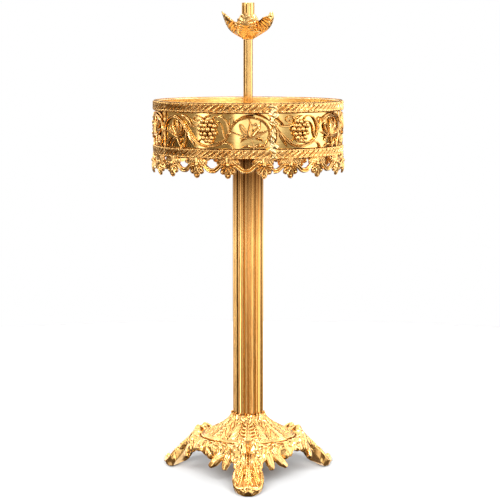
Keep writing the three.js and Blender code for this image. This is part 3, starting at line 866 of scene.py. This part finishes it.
dome = Skin()
around, n = 600, 120
rim_z, rim_r = DOME_LOW[2], DOME_HIGH[0]
profile = curve([(collar + 0.9, 135), (36.9, 129.5), (42, 122.4), (50, 115.6), (60, 109.4), (70, 104),
                 (80, 98.6), (89, 94), (95, 91.8), (98, 91.2)], n)
degrees = np.arange(around) * 360 / around
outward = uphill(profile)
rr, dd = profile[:, 0][None, :], degrees[:, None]
relief = np.zeros((around, n))
up = (91.5 - rr) / (91.5 - 40)
for i in range(12):
    beside = ((dd - 30 * i + 180) % 360 - 180) / 15
    teeth, slant = ((5.5, 0.7), (3.2, 1.5))[i % 2]
    relief = np.where(np.abs(beside) <= 1, acanthus(beside, up, teeth, slant), relief)
ring_line = 1.9 * bump(rr, 93.2, 1.2)
rim_bead = 1.7 * bump(rr, 97.4, 1.7)
relief = relief + ring_line + rim_bead
r = rr + outward[:, 0][None, :] * relief
z = profile[:, 1][None, :] + outward[:, 1][None, :] * relief
upper = polar(r, np.broadcast_to(dd, r.shape), z)
edge = [(99.8, 91.2), (rim_r, 89.6), (rim_r - 0.4, 87.4), (98.4, rim_z), (91, rim_z), (76, 92), (57, 102),
        (42, 113), (27, 120), (5.6, 120), (5.6, 126), (collar, 126), (collar, 134.2)]
er, ez = np.array(edge).T
lower = polar(er[None, :], np.broadcast_to(dd, (around, len(edge))), ez[None, :])
dome.rings(np.concatenate([upper, lower], axis=1), closed=True)
# leaf tips that lap up against the column's foot
rng = random.Random(11)
for i in range(22):
    a = i * 360 / 22 + rng.uniform(-3, 3)
    size = rng.uniform(0.75, 1.25)
    path = [polar(43.5, a, 119.8), polar(38.2, a + rng.uniform(-3, 3), 127.6),
            polar(33.8, a + rng.uniform(-5, 5), 131 + 4.4 * size),
            polar(33.6 + 1.6 * size, a + rng.uniform(-6, 6), 134.4 + 4.4 * size)]
    normals = [polar(0.6, a, 1), polar(1, a, 0.6), polar(1, a, 0.1), polar(0.7, a, 0.6)]
    dome.blade(path, pointed(4.6 * size, 0.85, 0.6), 2.3, leaf_section, normal=normals, depth=1.4, step=0.8)
make("dome_leafed", dome, "cast_brass", base_brass, "base_dome", angle=60)

# ---- tripod ----
base = Skin()
LEGS = (0, 120, 240)


def leg(skin, turn):
    """A leg: lobed at the hub, waisted, and spread into a fanned, bordered pad with a turned-up toe."""
    n, k = 170, 65
    crest = curve([(88, 84.4), (97, 84.6), (100.4, 85), (102, 88.6), (106, 89), (113, 87), (123, 83),
                   (135, 75.5), (146, 66.5), (156, 57), (164, 48), (171, 38), (178, 28), (185, 21),
                   (192, 17.6), (198, 17.2), (203, 17.4), (206.6, 13.8)], n)
    under = curve([(88, 76), (100, 77), (111, 77), (121, 73), (131, 65), (141, 56), (150, 46.5), (157, 37),
                   (164, 26), (170, 15), (176, 6), (183, 0.6), (190, 0.1), (197, 0.4), (203, 4.6),
                   (205.6, 9.6)], n)
    along_r = crest[:, 0]
    half = np.interp(along_r, [88, 100, 110, 122, 133, 145, 153, 160, 167, 176, 186, 193, 199, 203.5, 206.6],
                     [42, 42, 40, 36, 30, 25.2, 24.2, 27.4, 31.6, 33.2, 30, 24.6, 18, 12, 5.5])
    outward = uphill(crest)
    t = np.sin(np.linspace(-1, 1, k) * math.pi / 2) * 0.4 + np.linspace(-1, 1, k) * 0.6
    tt, rr = np.meshgrid(t, along_r)
    across = tt * half[:, None]
    beside = np.abs(across)
    # lobes at the hub, with a groove between them that runs down to the pad
    relief = 14.5 * np.exp(-(((rr - 113) / 12) ** 2) - ((beside - 14) / 10.5) ** 2)
    relief += 4.5 * np.exp(-(((rr - 117) / 10) ** 2) - ((beside - 32) / 5.5) ** 2)
    relief -= 8 * bump(across, 0, 2.6) * smooth(98, 104, rr) * (1 - smooth(156, 164, rr))
    relief -= 2.2 * bump(rr, 131, 7) * (1 - smooth(24, 30, beside))
    # folds that run down to the waist
    waist = smooth(122, 134, rr) * (1 - smooth(158, 168, rr))
    relief += 1.9 * np.cos(beside / half[:, None] * math.pi * 4.2) * waist
    # curls beside the waist
    relief += 5.5 * np.exp(-(((rr - 136) / 6.5) ** 2) - ((beside - 20.5) / 5) ** 2)
    # pad: raised border, veins that fan out, and a small leaf at its head
    on_pad = smooth(156, 164, rr)
    border = np.maximum(smooth(0.72, 0.84, np.abs(tt)), smooth(190, 194, rr) * (1 - smooth(202, 205, rr)))
    relief += 5 * border * on_pad * (1 - 0.4 * smooth(0.93, 1, np.abs(tt)))
    fan = np.degrees(np.arctan2(beside, np.maximum(rr - 148, 1)))
    inner = on_pad * (1 - smooth(191, 195, rr)) * (1 - smooth(0.66, 0.78, np.abs(tt)))
    relief += 2.3 * np.cos(TAU * fan / 13.5) * inner
    near_head = np.exp(-(((rr - 166) / 12) ** 4))
    head = near_head * np.exp(-((across / np.maximum(6.2 - 0.16 * np.abs(rr - 164), 1)) ** 4))
    relief += 4.6 * head * (1 - 0.35 * bump(across, 0, 1.1)) - 2.4 * bump(beside, 8.2, 1.7) * near_head
    relief += 3.6 * np.exp(-(((rr - 200.5) / 3.6) ** 2) - (across / 4.6) ** 2)
    drop = (3 + 6.5 * smooth(118, 148, rr) - 3.5 * smooth(160, 176, rr)) * tt**4

    def place(path, lift, share=1.0):
        r = path[:, 0][:, None] + outward[:, 0][:, None] * lift
        z = np.maximum(path[:, 1][:, None] + outward[:, 1][:, None] * lift, 0.0)
        return swung(np.minimum(r, -BASE_LOW[1] - 0.2), tt * (half * share)[:, None], z, turn)

    top = place(crest, relief - drop)
    # the underside follows the leaf's edges above the ankle, and is full at the toe
    full = smooth(172, 186, rr)
    belly = place(under, (1 - full) * (1.5 - drop) + full * 6 * tt**4, 1 - 0.3 * smooth(166, 186, along_r))
    skin.rings(np.concatenate([top, belly[:, ::-1]], axis=1))


def nearest_leg(degrees):
    """Degrees from the nearest leg's middle, signed."""
    return (np.asarray(degrees, float) + 60) % 120 - 60


def apron(skin):
    """The hub's skirt: folded like a leaf all round, ragged at its hem, and arched up between the legs."""
    around, n = 540, 44
    d = np.arange(around) * 360 / around
    off = np.abs(nearest_leg(d))
    s = np.linspace(0, 1, n)
    rng = random.Random(31)
    waves = [(rng.choice((18, 24, 30, 39, 48)), rng.uniform(0, TAU), rng.uniform(0.6, 1.6)) for _ in range(6)]
    ragged = sum(a * np.sin(np.radians(d * f) + p) for f, p, a in waves)
    hem = 53 + 15 * smooth(36, 60, off) + ragged * 0.9 + 2.2 * np.abs(np.sin(np.radians(off * 7.5)))
    flare = 3.0 * smooth(30, 10, off)
    rings = []
    for i in range(around):
        profile = curve([(93, 84.2), (100.6, 85), (102.2, 88.4), (106, 88.4), (112, 85.4), (118, 79),
                         (121.5, 70), (122 + flare[i], (hem[i] + 70) / 2), (121 + flare[i] * 1.4, hem[i])], n)
        outward = uphill(profile)
        fold = 1.9 * math.cos(math.radians(off[i] * 360 / 9.5))
        fold += 0.7 * math.cos(math.radians(d[i] * 360 / 5.0) + 1.0)
        knob = 7.5 * math.exp(-((off[i] - 37.5) / 4.6) ** 2) * np.exp(-((s - 0.55) / 0.2) ** 2)
        ridge = 4.0 * math.exp(-((off[i] - 28.5) / 1.7) ** 2) * smooth(0.2, 0.4, s)
        ridge *= 1 - smooth(0.8, 0.95, s)
        offset = fold * smooth(0.22, 0.45, s) * (1 - 0.3 * smooth(0.8, 1, s)) + knob + ridge
        topside = profile + outward * offset[:, None]
        underside = profile - outward * 5.0
        r, z = np.vstack([topside, underside[::-1]]).T
        rings.append(polar(r, d[i], z))
    skin.rings(np.stack(rings), closed=True)


def finger(skin, turn, side, points, width, height):
    """A leaf finger on the hub, by points of (radius, degrees from the leg's middle, height)."""
    path = [polar(r, turn + side * a, z) for r, a, z in points]
    out = [polar(1, turn + side * a, 0.45) for _, a, _ in points]
    skin.blade(path, width, height, lambda t: round_section(t) * (1 - 0.25 * bump(t, 0, 0.25)), normal=out,
               depth=5.5, step=1.2, top=13)


# On each side of a leg: the finger's points, its half widths, and its heights.
FINGERS = [
    # straight down beside the leg
    ([(113, 17.5, 83), (121, 19, 70), (126, 20.5, 57), (130, 21.8, 46), (131.5, 22.2, 38)],
     [7.6, 9.6, 9.8, 9.0, 4.4], [6, 7.5, 7.5, 6.5, 3.4]),
    # flared away from it
    ([(115, 25, 80), (122, 28, 67), (127, 31.5, 56), (131, 35, 48), (133, 37.4, 43)],
     [7.4, 9.2, 9.6, 9.0, 4.6], [5.5, 7, 7, 6.5, 3.4]),
    # a rolled curl where the leg narrows
    ([(116, 10.5, 83), (127, 13.2, 74), (134, 13.8, 64), (136, 11.8, 57), (133, 10.2, 57)],
     [4.6, 5.8, 6, 4.8, 2.8], [5, 5.5, 5.5, 4.5, 2.4]),
    # a ridge further round
    ([(104, 31, 88), (115, 31, 84), (121, 31.4, 74), (123, 31.8, 64)],
     [2.6, 3.2, 3.2, 2.0], [3.5, 4.5, 4.5, 3]),
]
base.turned([(5.6, 80), (96, 80), (99, 81.5), (100.4, 84.6), (99, 86), (5.6, 86)], 180)
apron(base)
for turn in LEGS:
    leg(base, turn)
    for side in (-1, 1):
        for points, width, height in FINGERS:
            finger(base, turn, side, points, width, height)
        # two knobs between the legs
        base.ball(polar(119, turn + 40 * side, 65), 10.5, 1.05, 20, 12)
        base.ball(polar(113, turn + 44 * side, 79), 6.5, 0.9, 16, 10)
        # ragged leaf edge along the upper leg
        for r0, z0 in ((127, 77), (136, 70), (145, 62)):
            a0 = math.degrees(24.5 / r0)
            points = [(r0, a0 * 0.75, z0 + 2), (r0 + 5, a0, z0 - 4), (r0 + 9, a0 * 1.12, z0 - 14)]
            finger(base, turn, side, points, [4.2, 4.6, 1.8], [3.0, 3.6, 1.6])
tripod = remeshed(obj_from("tripod_cast", base.points(), base.faces), 1.15)
finish_piece(tripod, "cast_brass", base_brass, "tripod_base")

# ---- what stays as the CAD has it ----
KEPT = [(steel, ("tie_rod", "base_nut", "base_washer")),
        (tube_brass, ("column_plug_lower", "column_plug_upper", "cup_spacer"))]
for material, nodes in KEPT:
    for node in nodes:
        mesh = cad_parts[node].data
        mesh.materials.clear()
        mesh.materials.append(material)

# ---- floor, light and camera ----
floor_mesh = bpy.data.meshes.new("floor")
FLOOR_RADIUS = 2.2
rim = [(FLOOR_RADIUS * math.cos(a), FLOOR_RADIUS * math.sin(a), 0) for a in np.arange(96) * TAU / 96]
floor_mesh.from_pydata(rim, [], [list(range(96))])
floor_obj = bpy.data.objects.new("floor", floor_mesh)
bpy.context.scene.collection.objects.link(floor_obj)
pale = Material("floor_pale")
reach = pale.node("ShaderNodeVectorMath", operation="LENGTH")
pale.link(pale.place(), reach.inputs[0])
# painted shadow: greyer under the stand, and paler further out
shadow_fade = pale.spread(reach.outputs["Value"], 0.3, 1.4)
pale.link(pale.mix(shadow_fade, (0.365, 0.37, 0.375), (0.7, 0.7, 0.7)), pale.shader.inputs["Base Color"])
pale.shader.inputs["Roughness"].default_value = 0.9
pale.shader.inputs["Specular IOR Level"].default_value = 0.1
floor_mesh.materials.append(pale.material)
floor_obj.visible_glossy = False

# Soft boxes: azimuth and elevation of the middle, half width, half height, softness across and up, strength.
# Azimuth 0 is in front, 90 at the right; all angles are in degrees.
SOFT_BOXES = [
    (-110, 18, 72, 13, 18, 5, 0.45),
    (-100, -2, 70, 2, 15, 2.5, 0.26),
    (12, 8, 24, 14, 10, 3, 1.2),
    (62, 8, 18, 12, 10, 5, 0.6),
    (0, -9, 62, 4, 10, 5, 0.2),
    (30, -8, 2.5, 6, 3, 5, 1.7),
    (-13, -8, 2, 6, 3, 5, 1.3),
    (88, 5, 19, 22, 7, 6, 2.2),
    (-57, 3, 4, 20, 4, 6, 3.0),
    (44, 34, 14, 10, 8, 7, 2.2),
    (-38, 38, 12, 10, 8, 7, 1.8),
    (180, 40, 80, 12, 25, 12, 0.75),
    (150, 68, 16, 12, 8, 8, 1.5),
    (-150, 68, 16, 12, 8, 8, 1.5),
    (90, 66, 12, 12, 8, 8, 1.1),
    (-90, 66, 12, 12, 8, 8, 1.1),
    (28, 66, 10, 10, 8, 8, 1.2),
    (-30, 66, 10, 10, 8, 8, 1.2),
    (0, -40, 180, 18, 12, 12, 0.09),
    (18, -33, 6, 10, 6, 6, 0.75),
    (82, -33, 9, 10, 7, 6, 0.6),
    (-52, -33, 5, 10, 6, 6, 0.75),
    (-112, -33, 6, 10, 6, 6, 0.6),
    (152, -33, 10, 10, 7, 6, 1.0),
    (-165, -33, 6, 10, 6, 6, 1.0),
    (146, 12, 9, 26, 6, 8, 1.6),
    (-148, 14, 7, 26, 6, 8, 1.6),
]
# Small round lights: azimuth, elevation, radius and strength.
GLINTS = [(-30, 24, 3.2, 26), (30, 46, 3.2, 26), (-100, 36, 3.2, 18), (118, 40, 3.2, 18), (176, 46, 3.2, 12)]
AMBIENT, CEILING = 0.05, 0.5


def studio():
    """A dim room with soft boxes, for the metal to reflect, and a white backdrop behind it."""
    world = bpy.data.worlds.new("studio")
    bpy.context.scene.world = world
    room = Nodes(world)
    calc = room.math

    def fade(value, full, none, strength):
        return room.spread(value, full, none, strength, 0.0, "SMOOTHSTEP")

    axes = room.node("ShaderNodeSeparateXYZ")
    room.link(room.place("Generated"), axes.inputs[0])
    x, y, z = axes.outputs
    azimuth = calc("MULTIPLY", calc("ARCTAN2", x, calc("MULTIPLY", y, -1.0)), math.degrees(1))
    elevation = calc("MULTIPLY", calc("ARCSINE", z), math.degrees(1))
    total = calc("ADD", fade(calc("SUBTRACT", 90.0, elevation), 30, 62, CEILING), AMBIENT)
    for across, up, half_width, half_height, soft, soft_up, strength in SOFT_BOXES:
        off = calc("ABSOLUTE", calc("SUBTRACT", azimuth, across))
        off = calc("MINIMUM", off, calc("SUBTRACT", 360.0, off))
        off_up = calc("ABSOLUTE", calc("SUBTRACT", elevation, up))
        beside = fade(off, half_width, half_width + soft, 1.0)
        above = fade(off_up, half_height, half_height + soft_up, strength)
        total = calc("ADD", total, calc("MULTIPLY", beside, above))
    for across, up, size, strength in GLINTS:
        a, e = math.radians(across), math.radians(up)
        dot = room.node("ShaderNodeVectorMath", operation="DOT_PRODUCT")
        dot.inputs[1].default_value = (math.sin(a) * math.cos(e), -math.cos(a) * math.cos(e), math.sin(e))
        room.link(room.place("Generated"), dot.inputs[0])
        near, far = math.cos(math.radians(size)), math.cos(math.radians(size + 2.5))
        total = calc("ADD", total, fade(dot.outputs["Value"], near, far, strength))
    lit = room.node("ShaderNodeBackground")
    room.link(total, lit.inputs["Strength"])
    # what isn't lit by a box is the warm brown of a room
    tint = room.mix(fade(total, 1.0, 0.25, 1.0), (1.0, 0.76, 0.52), (1.0, 0.98, 0.95))
    room.link(tint, lit.inputs["Color"])
    path = room.node("ShaderNodeLightPath")

    def unless(ray, usual, grey):
        """The usual light, but an even grey for one kind of ray."""
        even = room.node("ShaderNodeBackground")
        even.inputs["Color"].default_value = (grey, grey, grey, 1)
        either = room.node("ShaderNodeMixShader")
        for socket, source in zip(either.inputs, (path.outputs[ray], usual, even.outputs[0])):
            room.link(source, socket)
        return either.outputs[0]

    # the backdrop is white, and the floor is lit by the two lamps and only faintly by the room
    light = unless("Is Camera Ray", lit.outputs[0], 1.0)
    light = unless("Is Diffuse Ray", light, 0.35)
    room.link(light, room.node("ShaderNodeOutputWorld").inputs[0])


studio()

# Broad lights from above and in front that light the floor but aren't mirrored in the metal: tilt from
# straight down in degrees, strength, and how wide the light is in degrees.
for name, tilt, energy, spread in (("overhead", 0, 1.0, 90), ("front_low", 72, 22.5, 40)):
    sun = bpy.data.lights.new(name, "SUN")
    sun.energy, sun.angle = energy, math.radians(spread)
    lamp = bpy.data.objects.new(name, sun)
    lamp.rotation_euler = (math.radians(tilt), 0, 0)
    lamp.visible_glossy = False
    bpy.context.scene.collection.objects.link(lamp)

bpy.context.scene.view_settings.view_transform = "Standard"

EYE_DISTANCE, EYE_HEIGHT, LOOK_DOWN = 4.074, 0.943, 6.44
eye = Vector((0, -EYE_DISTANCE, EYE_HEIGHT))
aim = Vector((0.004, 0, EYE_HEIGHT - EYE_DISTANCE * math.tan(math.radians(LOOK_DOWN))))
camera_data = bpy.data.cameras.new("camera")
camera_data.lens, camera_data.sensor_width = 140.2, 36
camera_data.clip_end = 200
camera = bpy.data.objects.new("camera", camera_data)
camera.location = eye
camera.rotation_euler = (aim - eye).to_track_quat("-Z", "Y").to_euler()
bpy.context.scene.collection.objects.link(camera)
bpy.context.scene.camera = camera
